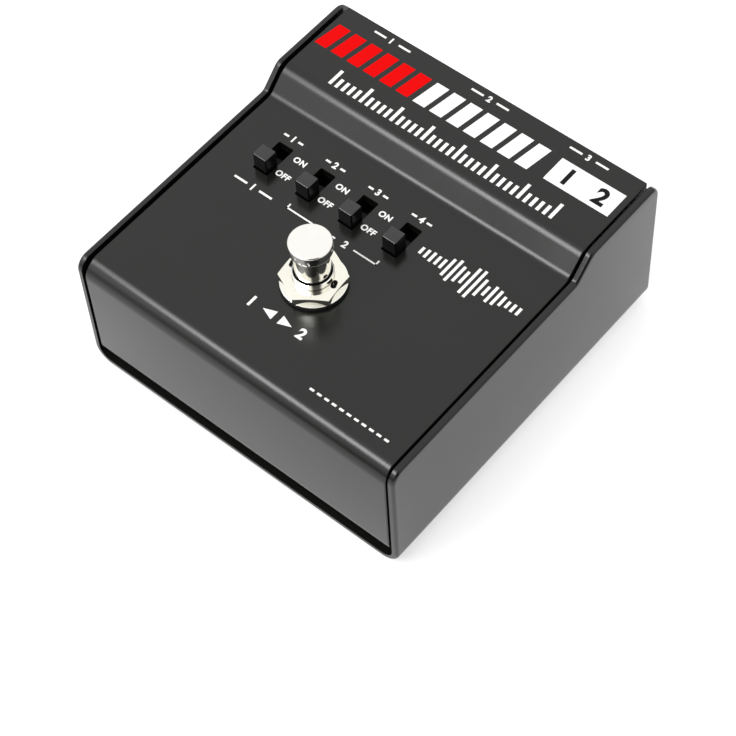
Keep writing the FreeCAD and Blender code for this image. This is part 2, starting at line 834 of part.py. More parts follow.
def slide_lever(x):
    """Handle on the carriage that runs inside the frame, at its front stop."""
    y = slide_y - lever_travel / 2
    inside_width = frame_width - 2 * frame_wall
    inside_length = frame_length - 2 * frame_wall
    half_width = inside_width / 2 - carriage_side_gap
    half_length = (inside_length - lever_travel) / 2 - carriage_end_gap
    carriage_top = frame_top - frame_wall - carriage_top_gap
    carriage = box((x - half_width, y - half_length, carriage_top - carriage_height),
                   (x + half_width, y + half_length, carriage_top))
    top = low_deck + handle_rise
    handle = box((x - handle_width / 2, y - handle_length / 2, carriage_top),
                 (x + handle_width / 2, y + handle_length / 2, top))
    handle = rounded(handle, handle_edge_round, lambda p: p.z > carriage_top + 1e-3)
    return carriage.fuse(handle)


def slide_pin_places(x):
    return [(x + column * pin_column_pitch, slide_y + row * pin_row_pitch)
            for column in (-0.5, 0.5) for row in (-1, 0, 1)]


def slide_pins(x):
    bottom = switch_board_top - board_thickness - pin_tail
    return group([rod(pin_radius, (px, py, bottom), (px, py, switch_board_top))
                  for px, py in slide_pin_places(x)])


def outward_rod(radius, x, z, low, high):
    """Cylinder along Y at a connector, between two distances out from the panel face."""
    return rod(radius, (x, panel_face + low, z), (x, panel_face + high, z))


def connector_shell(x, bore):
    """Die-cast flange and barrel, bored right through."""
    z = connector_height
    flange = plate((x, z), (flange_width, flange_height), flange_corner_radius, "xz",
                   panel_face, flange_thickness)
    outer = panel_face + flange_thickness
    flange = rounded(flange, flange_edge_round, lambda p: near(p.y, outer))
    shell = flange.fuse(outward_rod(barrel_radius, x, z, -barrel_length, 0))
    shell = shell.cut(outward_rod(bore, x, z, -barrel_length - 1, flange_thickness + 1))
    for sx in (-1, 1):
        hole_x = x + sx * flange_screw_x
        hole_z = z - sx * flange_screw_z
        shell = shell.cut(outward_rod(small_screw_radius + thread_clearance, hole_x, hole_z,
                                      -1, flange_thickness + 1))
        shell = shell.cut(countersink(hole_x, hole_z))
    return shell


def countersink(x, z):
    """Cone for a flush screw head, widest at the flange's outer face."""
    reach = small_head_radius - small_screw_radius
    low = panel_face + flange_thickness - reach
    return Part.makeCone(small_screw_radius, small_head_radius, reach, vec(x, low, z), vec(0, 1, 0))


def latch_slot(x):
    """Way for the latch through the shell's top wall and flange, and its pivot hole."""
    half = latch_width / 2 + latch_side_gap
    middle = connector_height + latch_height
    top = middle - latch_thickness / 2 + latch_pad_height + latch_slot_rise
    back = panel_face - latch_pivot_depth - latch_root - latch_side_gap
    way = box((x - half, back, connector_height),
              (x + half, panel_face + flange_thickness + 1, top))
    keep = outward_rod(socket_bore_radius, x, connector_height, -barrel_length, 0)
    pivot_y = panel_face - latch_pivot_depth
    reach = latch_width / 2 + latch_pin_reach + 2 * latch_pin_gap
    pivot = rod(latch_pin_radius + latch_pin_gap, (x - reach, pivot_y, middle),
                (x + reach, pivot_y, middle))
    return way.fuse(keep).fuse(pivot)


def socket_shell(x):
    shell = connector_shell(x, socket_bore_radius)
    return shell.cut(latch_slot(x))


def plug_shell(x):
    return connector_shell(x, plug_cup_radius)


def insert_disc(x, bore):
    """Moulded disc that closes the back of a shell."""
    radius = bore - insert_disc_gap
    return outward_rod(radius, x, connector_height, -barrel_length,
                       -barrel_length + insert_disc_thickness)


def socket_insert(x):
    """Moulded core with three contact holes, joined to the disc behind it."""
    insert = insert_disc(x, socket_bore_radius)
    core = outward_rod(socket_core_radius, x, connector_height,
                       -barrel_length + insert_disc_thickness, -socket_core_setback)
    insert = insert.fuse(core)
    for dx, dz in contact_places:
        hole = outward_rod(contact_hole_radius, x + dx, connector_height + dz,
                           -socket_core_setback - contact_depth, 0)
        insert = insert.cut(hole)
        tail = outward_rod(tail_radius, x + dx, connector_height + dz,
                           -barrel_length - 1, -socket_core_setback - contact_depth + 1)
        insert = insert.cut(tail)
    return insert


def socket_contacts(x):
    """Three sleeves, each with a solder tail behind the shell."""
    contacts = []
    inner = -socket_core_setback - contact_depth
    for dx, dz in contact_places:
        z = connector_height + dz
        sleeve = outward_rod(contact_sleeve_radius, x + dx, z, inner,
                             -socket_core_setback - contact_setback)
        sleeve = sleeve.cut(outward_rod(contact_sleeve_bore, x + dx, z, inner + 1, 0))
        tail = outward_rod(tail_radius, x + dx, z, -barrel_length - tail_length, inner)
        contacts.append(sleeve.fuse(tail))
    return group(contacts)


def socket_latch(x):
    """Spring-steel lever with a thumb pad outside and a pivot bar at its root."""
    middle = connector_height + latch_height
    low = middle - latch_thickness / 2
    half = latch_width / 2
    pivot_y = panel_face - latch_pivot_depth
    outer = panel_face + flange_thickness + latch_pad_proud
    arm = box((x - half, pivot_y - latch_root, low), (x + half, outer, low + latch_thickness))
    pad = box((x - half, outer - latch_pad_depth, low), (x + half, outer, low + latch_pad_height))
    reach = half + latch_pin_reach
    bar = rod(latch_pin_radius, (x - reach, pivot_y, middle), (x + reach, pivot_y, middle))
    lever = arm.fuse(pad).removeSplitter()
    lever = rounded(lever, flange_edge_round, lambda p: near(p.y, outer))
    return lever.fuse(bar)


def plug_insert(x):
    """Moulded disc that holds the three pins of the output."""
    insert = insert_disc(x, plug_cup_radius)
    for dx, dz in contact_places:
        hole = outward_rod(plug_pin_radius, x + dx, connector_height + dz, -barrel_length - 1, 0)
        insert = insert.cut(hole)
    return insert


def plug_pins(x):
    """Three round-nosed pins, each with a solder tail."""
    pins = []
    for dx, dz in contact_places:
        z = connector_height + dz
        pin = outward_rod(plug_pin_radius, x + dx, z, -barrel_length, -plug_pin_setback)
        tip = panel_face - plug_pin_setback
        pin = rounded(pin, plug_pin_radius / 2, lambda p, tip=tip: near(p.y, tip))
        tail = outward_rod(tail_radius, x + dx, z, -barrel_length - tail_length, -barrel_length)
        pins.append(pin.fuse(tail))
    return group(pins)


def connector_screws():
    """Flush screws that hold each flange to the panel."""
    screws = []
    reach = small_head_radius - small_screw_radius
    outer = panel_face + flange_thickness
    for x, z in flange_screw_places():
        head = Part.makeCone(small_screw_radius, small_head_radius, reach,
                             vec(x, outer - reach, z), vec(0, 1, 0))
        shank = rod(small_screw_radius, (x, outer - flange_screw_length, z), (x, outer - reach, z))
        half = recess_width / 2
        arm = small_head_radius / 2
        slots = box((x - arm, outer - recess_depth, z - half), (x + arm, outer + 1, z + half))
        slots = slots.fuse(box((x - half, outer - recess_depth, z - arm),
                               (x + half, outer + 1, z + arm)))
        screws.append(head.fuse(shank).cut(slots))
    return group(screws)


def connector_nuts():
    nuts = []
    inner = panel_face - sheet_thickness
    radius = screw_nut_across_flats / math.sqrt(3)
    for x, z in flange_screw_places():
        corners = [(x + radius * math.cos(math.pi / 3 * k), z + radius * math.sin(math.pi / 3 * k))
                   for k in range(6)]
        nut = prism(corners, [0.0] * 6, "xz", inner - screw_nut_height, screw_nut_height)
        hole = rod(small_screw_radius + thread_clearance, (x, inner - screw_nut_height - 1, z),
                   (x, inner + 1, z))
        nuts.append(nut.cut(hole))
    return group(nuts)


def main_board_corners():
    half = main_board_width / 2 - board_spacer_inset
    front = main_board_front + board_spacer_inset
    back = main_board_back - board_spacer_inset
    return [(-half, front), (half, front), (half, back), (-half, back)]


def main_board():
    centre_y = (main_board_front + main_board_back) / 2
    board = plate((0, centre_y), (main_board_width, main_board_back - main_board_front),
                  board_corner_radius, "xy", main_board_underside, board_thickness)
    for x, y in main_board_corners():
        board = board.cut(rod(small_screw_radius + thread_clearance, (x, y, floor_top),
                              (x, y, main_board_top + 1)))
    return board


def main_board_spacers():
    spacers = []
    for x, y in main_board_corners():
        spacer = hexagon(board_spacer_across_flats, (x, y), floor_top, main_spacer_height)
        hole = rod(small_screw_radius + thread_clearance, (x, y, floor_top + sheet_thickness / 2),
                   (x, y, main_board_underside + 1))
        spacers.append(spacer.cut(hole))
    return group(spacers)


def main_board_screws():
    return group([screw_from_above(x, y, main_board_top, small_screw_radius, board_screw_length,
                                   small_head_radius, small_head_height)
                  for x, y in main_board_corners()])


def switch_board_box():
    """Low and high corners of the board under the slide switches, in plan."""
    side = frame_width / 2 + switch_board_side_margin
    end = frame_length / 2 + switch_board_end_margin
    return (slide_centres[0] - side, slide_y - end), (slide_centres[-1] + side, slide_y + end)


def switch_board_corners():
    (x0, y0), (x1, y1) = switch_board_box()
    inset = board_spacer_inset
    return [(x0 + inset, y0 + inset), (x1 - inset, y0 + inset),
            (x1 - inset, y1 - inset), (x0 + inset, y1 - inset)]


def switch_board():
    """Board that the slide switches stand on, hung from the cover."""
    (x0, y0), (x1, y1) = switch_board_box()
    bottom = switch_board_top - board_thickness
    board = plate(((x0 + x1) / 2, (y0 + y1) / 2), (x1 - x0, y1 - y0), board_corner_radius,
                  "xy", bottom, board_thickness)
    holes = [rod(small_screw_radius + thread_clearance, (x, y, bottom - 1),
                 (x, y, switch_board_top + 1)) for x, y in switch_board_corners()]
    for slide_x in slide_centres:
        holes += [rod(pin_radius + thread_clearance, (x, y, bottom - 1),
                      (x, y, switch_board_top + 1)) for x, y in slide_pin_places(slide_x)]
    return board.cut(holes)


def switch_board_standoffs():
    """Short pillars pressed into the cover, blind at the top."""
    pillars = []
    height = low_deck_underside - switch_board_top
    for x, y in switch_board_corners():
        pillar = hexagon(board_spacer_across_flats, (x, y), switch_board_top, height)
        hole = rod(small_screw_radius + thread_clearance, (x, y, switch_board_top - 1),
                   (x, y, switch_board_top + board_screw_length))
        pillars.append(pillar.cut(hole))
    return group(pillars)


def switch_board_screws():
    seat = switch_board_top - board_thickness
    return group([screw_from_below(x, y, seat, small_screw_radius, board_screw_length,
                                   small_head_radius, small_head_height)
                  for x, y in switch_board_corners()])


def transformer(side):
    """Potted isolation transformer in a drawn can, standing on the main board."""
    x = side * transformer_x
    y = main_board_back - transformer_from_board_back
    top = main_board_top + transformer_height
    can = plate((x, y), (transformer_size, transformer_size), transformer_edge_round, "xy",
                main_board_top, transformer_height)
    return rounded(can, transformer_edge_round / 2, lambda p: near(p.z, top))


def capacitors():
    """Row of film capacitors on the main board."""
    blocks = []
    transformer_front = main_board_back - transformer_from_board_back - transformer_size / 2
    y = transformer_front - capacitor_gap - capacitor_depth / 2
    for index in range(capacitor_count):
        x = capacitor_row_start + capacitor_width / 2 + capacitor_pitch * index
        block = box((x - capacitor_width / 2, y - capacitor_depth / 2, main_board_top),
                    (x + capacitor_width / 2, y + capacitor_depth / 2,
                     main_board_top + capacitor_height))
        blocks.append(rounded(block, capacitor_depth / 8,
                              lambda p: p.z > main_board_top + 1e-3))
    return group(blocks)


def header_y():
    """Both headers stand just behind the switch board's front edge."""
    return switch_board_box()[0][1] + header_inset + header_depth / 2


def header(x, bottom):
    y = header_y()
    return plate((x, y), (header_width, header_depth), header_depth / 8, "xy", bottom,
                 header_height)


def header_places():
    """Header on the main board, and the one under the switch board above it."""
    upper_x = min(header_x, switch_board_box()[1][0] - header_width / 2)
    return upper_x, main_board_top, switch_board_top - board_thickness - header_height


def main_board_header():
    x, bottom, _ = header_places()
    return header(x, bottom)


def switch_board_header():
    x, _, bottom = header_places()
    return header(x, bottom)


def ribbon_cable():
    """Flat cable between the two headers, bowed forward."""
    x, lower, upper = header_places()
    y = header_y()
    low = lower + header_height
    middle = vec(0, y - ribbon_bow, (low + upper) / 2)
    half = ribbon_thickness / 2
    outer = Part.Arc(vec(0, y - half, low), middle - vec(0, half, 0), vec(0, y - half, upper))
    inner = Part.Arc(vec(0, y + half, low), middle + vec(0, half, 0), vec(0, y + half, upper))
    top = Part.LineSegment(vec(0, y - half, upper), vec(0, y + half, upper))
    foot = Part.LineSegment(vec(0, y - half, low), vec(0, y + half, low))
    outline = Part.Wire(Part.__sortEdges__([outer.toShape(), top.toShape(), inner.toShape(),
                                            foot.toShape()]))
    ribbon = Part.Face(outline).extrude(vec(ribbon_width, 0, 0))
    ribbon.translate(vec(x - ribbon_width / 2, 0, 0))
    return ribbon


def signal_wires():
    """Leads from each connector's tails down to the main board."""
    wires = []
    tail_end = panel_face - barrel_length - tail_length
    for x in connector_centres:
        for dx, dz in contact_places:
            z = connector_height + dz
            points = [(x + dx, tail_end, z), (x + dx, tail_end - signal_wire_reach, z),
                      (x + dx, tail_end - signal_wire_reach, main_board_top)]
            spine = bend_path(points, signal_wire_bend)
            wires.append(tube_along(spine, signal_wire_radius, vec(*points[0]), vec(0, -1, 0)))
    return group(wires)


def make_case():
    pieces["base_channel"] = base_channel()
    pieces["top_cover"] = top_cover()
    pieces["rear_panel"] = rear_panel()
    pieces["non_slip_pad"] = non_slip_pad()
    pieces["cover_standoffs"] = cover_standoffs()
    pieces["cover_screws"] = cover_screws()
    pieces["panel_screws"] = panel_screws()


def make_footswitch():
    pieces["footswitch_bushing"] = footswitch_bushing()
    pieces["footswitch_button"] = footswitch_button()
    pieces["footswitch_body"] = footswitch_body()
    pieces["footswitch_spring"] = footswitch_spring()
    pieces["footswitch_top_nut"] = footswitch_top_nut()
    pieces["footswitch_top_washer"] = footswitch_top_washer()
    pieces["footswitch_inner_nut"] = footswitch_inner_nut()
    pieces["footswitch_lock_washer"] = footswitch_lock_washer()
    pieces["footswitch_terminals"] = footswitch_terminals()


def make_slides():
    for index, x in enumerate(slide_centres):
        name = "slide_%d_" % (index + 1)
        pieces[name + "frame"] = slide_frame(x)
        pieces[name + "wafer"] = slide_wafer(x)
        pieces[name + "lever"] = slide_lever(x)
        pieces[name + "pins"] = slide_pins(x)


def make_connectors():
    for name, x in zip(("first_input", "second_input"), connector_centres):
        pieces[name + "_shell"] = socket_shell(x)
        pieces[name + "_insert"] = socket_insert(x)
        pieces[name + "_contacts"] = socket_contacts(x)
        pieces[name + "_latch"] = socket_latch(x)
    pieces["output_shell"] = plug_shell(connector_centres[-1])
    pieces["output_insert"] = plug_insert(connector_centres[-1])
    pieces["output_pins"] = plug_pins(connector_centres[-1])
    pieces["connector_screws"] = connector_screws()
    pieces["connector_nuts"] = connector_nuts()


def make_electronics():
    pieces["main_board"] = main_board()
    pieces["main_board_spacers"] = main_board_spacers()
    pieces["main_board_screws"] = main_board_screws()
    pieces["switch_board"] = switch_board()
    pieces["switch_board_standoffs"] = switch_board_standoffs()
    pieces["switch_board_screws"] = switch_board_screws()
    pieces["first_transformer"] = transformer(-1)
    pieces["second_transformer"] = transformer(1)
    pieces["capacitors"] = capacitors()
    pieces["main_board_header"] = main_board_header()
    pieces["switch_board_header"] = switch_board_header()
    pieces["ribbon_cable"] = ribbon_cable()
    pieces["signal_wires"] = signal_wires()


def write_pieces():
    os.makedirs("parts", exist_ok=True)
    for name, shape in pieces.items():
        bounds = shape.BoundBox
        print("%-26s solids %d valid %s volume %9.1f  z %.2f to %.2f" % (
            name, len(shape.Solids), shape.isValid(), shape.Volume, bounds.ZMin, bounds.ZMax))
        shape.exportStep("parts/" + name + ".step")
    print(len(pieces), "pieces")


make_case()
make_footswitch()
make_slides()
make_connectors()
make_electronics()
write_pieces()
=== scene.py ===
# %% [markdown]
# # AB footswitch
# A floor box of bent steel, with a footswitch and four slide switches on its cover and three
# round sockets at the back. The solid model arrives finished and in place, so this lesson
# gives each piece its finish, swaps some for smoother surfaces, prints the marks and lights
# the box as a studio would.

# %% Load the solid model
import json
import math

import bmesh
import bpy
import numpy as np
from mathutils import Matrix, Vector

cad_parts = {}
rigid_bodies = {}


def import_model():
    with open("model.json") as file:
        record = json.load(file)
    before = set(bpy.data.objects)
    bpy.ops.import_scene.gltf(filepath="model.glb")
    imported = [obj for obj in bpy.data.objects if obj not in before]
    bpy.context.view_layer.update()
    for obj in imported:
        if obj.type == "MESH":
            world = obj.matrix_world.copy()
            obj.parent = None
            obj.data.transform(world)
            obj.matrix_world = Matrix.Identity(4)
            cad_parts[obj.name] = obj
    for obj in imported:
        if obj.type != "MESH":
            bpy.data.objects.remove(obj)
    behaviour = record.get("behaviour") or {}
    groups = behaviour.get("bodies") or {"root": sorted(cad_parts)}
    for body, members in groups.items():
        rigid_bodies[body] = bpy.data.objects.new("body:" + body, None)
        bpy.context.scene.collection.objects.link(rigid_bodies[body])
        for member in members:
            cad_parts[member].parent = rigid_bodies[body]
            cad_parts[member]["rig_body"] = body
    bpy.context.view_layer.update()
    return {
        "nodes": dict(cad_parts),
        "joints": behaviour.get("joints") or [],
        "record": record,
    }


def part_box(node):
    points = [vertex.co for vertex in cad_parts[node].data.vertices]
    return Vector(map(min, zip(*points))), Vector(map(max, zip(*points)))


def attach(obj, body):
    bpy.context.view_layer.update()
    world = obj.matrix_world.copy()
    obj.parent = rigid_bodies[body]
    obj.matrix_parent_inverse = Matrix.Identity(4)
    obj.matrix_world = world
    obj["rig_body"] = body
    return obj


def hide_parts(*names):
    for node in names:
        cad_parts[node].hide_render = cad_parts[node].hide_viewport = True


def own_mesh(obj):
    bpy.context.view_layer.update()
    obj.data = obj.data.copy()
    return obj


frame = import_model()
nodes = frame["nodes"]
print("pieces in the solid model:", len(nodes))

# %% [markdown]
# Sizes are easier to think of in millimetres, and Blender works in metres, so one name turns
# one into the other. Heights and edges are read from the solid model, which keeps the marks and
# the new surfaces exactly on what carries them.

# %% Measure what carries the new pieces
MM = 0.001


def edge(node, corner, axis):
    """Lowest (corner 0) or highest (corner 1) place of a solid along an axis, in mm."""
    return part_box(node)[corner]["xyz".index(axis)] / MM


def middle(node, axis):
    """Place of a solid's middle along an axis, in mm."""
    return (edge(node, 0, axis) + edge(node, 1, axis)) / 2


def radius_of(node):
    """Radius of an upright turned solid, in mm."""
    return (edge(node, 1, "x") - edge(node, 0, "x")) / 2


slides = (1, 2, 3, 4)
low_deck = edge("footswitch_top_washer", 0, "z")
high_deck = edge("top_cover", 1, "z")
switch_y = middle("footswitch_button", "y")
slide_x = [middle("slide_%d_frame" % k, "x") for k in slides]
slide_y = middle("slide_1_frame", "y")
print("lower deck at %.2f mm, upper deck at %.2f mm" % (low_deck, high_deck))

# %% [markdown]
# A finish is a small network of nodes. Writing it as arithmetic keeps it readable, so this
# class holds one socket and turns plus, minus and times into Math nodes. Everything else, such
# as a noise or a step, comes from its one node method.

# %% Shader arithmetic
class Wire:
    """One socket of a node tree. Arithmetic on it adds Math nodes to the same tree."""

    def __init__(self, tree, socket=None):
        self.tree = tree
        self.socket = socket

    def node(self, kind, settings=None, inputs=None, output=0):
        """Add a node: its settings first, then a value or a link for each named socket."""
        made = self.tree.nodes.new("ShaderNode" + kind)
        for name, value in (settings or {}).items():
            setattr(made, name, value)
        for name, value in (inputs or {}).items():
            if isinstance(value, Wire):
                self.tree.links.new(value.socket, made.inputs[name])
            else:
                made.inputs[name].default_value = value
        return Wire(self.tree, made.outputs[output])

    def math(self, operation, first, second=0.0):
        return self.node("Math", {"operation": operation}, {0: first, 1: second})

    def along_axes(self):
        """The parts of a vector along x, y and z."""
        split = self.node("SeparateXYZ", inputs={0: self}).socket.node
        return [Wire(self.tree, part) for part in split.outputs]

    def dot(self, direction):
        """How far a vector reaches in a direction."""
        return self.node("VectorMath", {"operation": "DOT_PRODUCT"}, {0: self, 1: direction},
                         output=1)

    def length(self):
        """Length of a vector."""
        return self.node("VectorMath", {"operation": "LENGTH"}, {0: self}, output=1)

    def __add__(self, other):
        return self.math("ADD", self, other)

    def __radd__(self, other):
        return self.math("ADD", other, self)

    def __sub__(self, other):
        return self.math("SUBTRACT", self, other)

    def __rsub__(self, other):
        return self.math("SUBTRACT", other, self)

    def __mul__(self, other):
        return self.math("MULTIPLY", self, other)

    def __rmul__(self, other):
        return self.math("MULTIPLY", other, self)


def new_finish(name, metallic=0.0, ior=1.5):
    """Material with one Principled shader. Returns the material, its wire and the shader."""
    material = bpy.data.materials.new(name)
    material.use_nodes = True
    tree = material.node_tree
    shader = tree.nodes["Principled BSDF"]
    shader.inputs["Metallic"].default_value = metallic
    shader.inputs["IOR"].default_value = ior
    return material, Wire(tree), shader


def plug(shader, name, value):
    """Feed a shader socket from a wire."""
    value.tree.links.new(value.socket, shader.inputs[name])


def place(wire):
    """Position on the piece, in millimetres."""
    where = wire.node("TexCoord", output=3)
    return wire.node("VectorMath", {"operation": "SCALE"}, {0: where, "Scale": 1 / MM})


def grain(wire, where, size, detail=2.0):
    """Noise from 0 to 1 whose lumps are about size millimetres across."""
    return wire.node("TexNoise", {"noise_dimensions": "3D"},
                     {"Vector": where, "Scale": 1 / size, "Detail": detail})


def shade(colour, share):
    """Darker or lighter version of a colour."""
    return tuple(share * channel for channel in colour)


def between(wire, factor, first, second):
    """Colour that runs from the first to the second as the factor goes from 0 to 1.

    The Mix node's sockets 0, 6 and 7 are its factor and its two colours, and its output 2 is
    the mixed colour.
    """
    return wire.node("Mix", {"data_type": "RGBA", "blend_type": "MIX"},
                     {0: factor, 6: (*first, 1.0), 7: (*second, 1.0)}, output=2)


def ramp(wire, value, start, end, first, last):
    """Smooth step from the first to the last as the value goes from start to end."""
    return wire.node("MapRange", {"interpolation_type": "SMOOTHSTEP"},
                     {"Value": value, "From Min": start, "From Max": end,
                      "To Min": first, "To Max": last})


def bump(wire, height, depth_mm):
    """Normal of a surface raised by a height from 0 to 1 times a depth in millimetres."""
    return wire.node("Bump", inputs={"Distance": depth_mm * MM, "Height": height})


# %% [markdown]
# ## Powder coat
# The steel is powder coated: plastic dust melted into a skin. Close up it has a fine orange
# peel, and its gloss wanders a little. Noises of three sizes do it: the peel, just under a
# millimetre across, and a fine speck lift the surface, and a cloud of more than a centimetre
# shifts the colour and the roughness.

# %% Powder coat
def powder_coat(name, colour, roughness, peel_mm=0.9, peel_depth=0.008):
    speck_mm, cloud_mm = 0.22, 14.0
    material, wire, shader = new_finish(name, ior=1.46)
    where = place(wire)
    peel = grain(wire, where, peel_mm)
    speck = grain(wire, where, speck_mm, 1.0)
    cloud = grain(wire, where, cloud_mm, 3.0)
    plug(shader, "Base Color", between(wire, speck * 0.7 + cloud * 0.3, shade(colour, 0.78),
                                       shade(colour, 1.25)))
    plug(shader, "Roughness", roughness - 0.06 + cloud * 0.08 + speck * 0.04)
    plug(shader, "Normal", bump(wire, peel + speck * 0.25, peel_depth))
    return material


case_coat = powder_coat("case_powder_coat", (0.0052, 0.0056, 0.0048), 0.22)
cover_coat = powder_coat("cover_powder_coat", (0.0046, 0.0053, 0.0041), 0.22)
panel_coat = powder_coat("panel_powder_coat", (0.0052, 0.0052, 0.0052), 0.30)
print("powder coats:", case_coat.name, cover_coat.name, panel_coat.name)

# %% [markdown]
# ## Metals
# Nickel on the footswitch is a near mirror with a warm tint. What tells it from a perfect
# mirror is the lathe: faint rings about the axis, worked out as the sine of the distance from
# it. Zinc on screws and nuts is cooler and cloudier.

# %% Turned nickel
def turned_metal(name, colour, roughness, ring_mm, ring_depth):
    """Bright metal with rings about the switch's axis: sine of the distance over the pitch."""
    smear_mm = 3.0
    material, wire, shader = new_finish(name, metallic=1.0)
    where = place(wire)
    from_axis = wire.node("VectorMath", {"operation": "MULTIPLY_ADD"},
                          {0: where, 1: (1.0, 1.0, 0.0), 2: (0.0, -switch_y, 0.0)})
    turns = from_axis.length() * (2 * math.pi / ring_mm)
    rings = wire.math("SINE", turns) * 0.5 + 0.5
    smear = grain(wire, where, smear_mm, 3.0)
    plug(shader, "Base Color", between(wire, smear, shade(colour, 0.93), colour))
    plug(shader, "Roughness", roughness + smear * 0.05 + rings * 0.03)
    plug(shader, "Normal", bump(wire, rings * 0.6 + smear * 0.4, ring_depth))
    return material


nickel = turned_metal("turned_nickel", (0.97, 0.955, 0.90), 0.05, 0.22, 0.0004)
nut_nickel = turned_metal("nut_nickel", (0.95, 0.93, 0.82), 0.08, 0.30, 0.0008)
washer_nickel = turned_metal("washer_nickel", (0.95, 0.94, 0.90), 0.10, 0.4, 0.001)
print("nickel mixed for the button, the nut and the washer")


# %% Zinc, tin, gold and plain steel
def plated_metal(name, colour, roughness, cloud_mm=2.5):
    """Plated metal with a cloudy bloom and fine handling marks."""
    mark_mm = 0.18
    material, wire, shader = new_finish(name, metallic=1.0)
    where = place(wire)
    cloud = grain(wire, where, cloud_mm, 3.0)
    marks = grain(wire, where, mark_mm)
    plug(shader, "Base Color", between(wire, cloud, shade(colour, 0.8), colour))
    plug(shader, "Roughness", roughness + cloud * 0.12 + marks * 0.06)
    plug(shader, "Normal", bump(wire, marks, 0.003))
    return material


zinc = plated_metal("zinc_plate", (0.66, 0.67, 0.68), 0.22)
tin = plated_metal("tin_plate", (0.74, 0.73, 0.70), 0.26)
gold = plated_metal("gold_flash", (0.93, 0.70, 0.31), 0.16)
# Painted shade: the switches' steel strip is made nearly black so their windows look dark
# inside.
darkened_strip_steel = plated_metal("switch_strip", (0.030, 0.030, 0.030), 0.50)
spring_wire = plated_metal("spring_wire", (0.60, 0.60, 0.58), 0.20, 1.2)
can_steel = plated_metal("transformer_can", (0.52, 0.52, 0.51), 0.30, 6.0)
black_zinc = plated_metal("black_zinc", (0.055, 0.055, 0.058), 0.30, 1.5)
print("plated metals mixed")

# %% [markdown]
# ## Mouldings, rubber and boards
# Moulded plastic is even, with a very fine spark-eroded grain from the tool. The slide levers
# are matt on their sides, and fingers have polished their tops. Rubber is rougher and has a
# woven imprint. A circuit board is a green varnish over copper tracks: the tracks stand a hair
# proud, so a grid of thin lines both lightens and lifts the surface.

# %% Plastics
def moulding(name, colour, roughness, grain_mm=0.12):
    """Even plastic with the tool's fine grain, and flow marks half a centimetre across."""
    flow_mm = 5.0
    material, wire, shader = new_finish(name)
    where = place(wire)
    fine = grain(wire, where, grain_mm, 1.0)
    flow = grain(wire, where, flow_mm)
    plug(shader, "Base Color", between(wire, flow, shade(colour, 0.85), colour))
    plug(shader, "Roughness", roughness + fine * 0.08)
    plug(shader, "Normal", bump(wire, fine, 0.006))
    return material


def lever_moulding(name, colour, top):
    """Matt sides, and a top polished by fingers: a clear coat that starts just below the top."""
    grain_mm, flow_mm = 0.12, 5.0
    polish_start, polish_end = top - 0.20, top - 0.05
    material, wire, shader = new_finish(name)
    where = place(wire)
    height = where.along_axes()[2]
    fine = grain(wire, where, grain_mm, 1.0)
    flow = grain(wire, where, flow_mm)
    plug(shader, "Base Color", between(wire, flow, shade(colour, 0.7), colour))
    plug(shader, "Roughness", 0.30 + fine * 0.08)
    plug(shader, "Normal", bump(wire, fine, 0.001))
    plug(shader, "Coat Weight", ramp(wire, height, polish_start, polish_end, 0.0, 1.0))
    shader.inputs["Specular IOR Level"].default_value = 0.12
    shader.inputs["Coat IOR"].default_value = 1.60
    shader.inputs["Coat Roughness"].default_value = 0.20
    return material


lever_black = lever_moulding("lever_black", (0.0012, 0.0012, 0.0012),
                             edge("slide_1_lever", 1, "z"))
# Painted shade: a near-black moulding for holes, the neck's mouth and the washer's rim, where
# shade falls.
painted_hole_shade = moulding("painted_hole_shade", (0.004, 0.004, 0.004), 0.70)
insert_black = moulding("insert_black", (0.008, 0.008, 0.008), 0.45)
switch_blue = moulding("switch_blue", (0.020, 0.085, 0.26), 0.40)
wafer_brown = moulding("wafer_brown", (0.030, 0.014, 0.008), 0.60, 0.3)
capacitor_red = moulding("capacitor_red", (0.42, 0.035, 0.025), 0.25)
wire_jacket = moulding("wire_jacket", (0.05, 0.05, 0.055), 0.35)
ribbon_grey = moulding("ribbon_grey", (0.40, 0.40, 0.41), 0.45)
print("plastics mixed")


# %% Rubber, circuit board and lacquers
def pad_rubber(name):
    """Rubber with a fine square imprint: the product of two sine waves across the sheet."""
    weave_mm, dust_mm = 1.2, 7.0
    material, wire, shader = new_finish(name)
    where = place(wire)
    along, across, _ = where.along_axes()
    turns = 2 * math.pi / weave_mm
    weave = wire.math("SINE", along * turns) * wire.math("SINE", across * turns) * 0.5 + 0.5
    dust = grain(wire, where, dust_mm, 4.0)
    plug(shader, "Base Color", between(wire, dust, (0.016, 0.016, 0.017),
                                       (0.040, 0.039, 0.038)))
    plug(shader, "Roughness", 0.72 + dust * 0.18)
    plug(shader, "Normal", bump(wire, weave + dust * 0.3, 0.10))
    return material


def board_varnish(name):
    """Green varnish over tracks: the edges between the cells of a Voronoi pattern."""
    cells_per_mm, speck_mm, track_share = 0.22, 0.4, 0.035
    material, wire, shader = new_finish(name)
    where = place(wire)
    cells = wire.node("TexVoronoi", {"feature": "DISTANCE_TO_EDGE"},
                      {"Vector": where, "Scale": cells_per_mm, "Randomness": 0.75})
    track = wire.math("LESS_THAN", cells, track_share)
    speck = grain(wire, where, speck_mm)
    plug(shader, "Base Color", between(wire, track, (0.008, 0.075, 0.026), (0.030, 0.21, 0.07)))
    plug(shader, "Roughness", 0.28 + speck * 0.10)
    plug(shader, "Normal", bump(wire, track + speck * 0.1, 0.03))
    return material


die_cast = powder_coat("die_cast_lacquer", (0.018, 0.018, 0.020), 0.30, 0.5, 0.006)
latch_black = powder_coat("latch_black", (0.030, 0.030, 0.032), 0.26, 0.4, 0.004)
rubber = pad_rubber("pad_rubber")
varnish = board_varnish("board_varnish")
print("rubber, varnish and lacquers mixed")

# %% [markdown]
# Each solid's finish is named by a slot in the model's own record, so one table from slots to
# materials dresses them all.

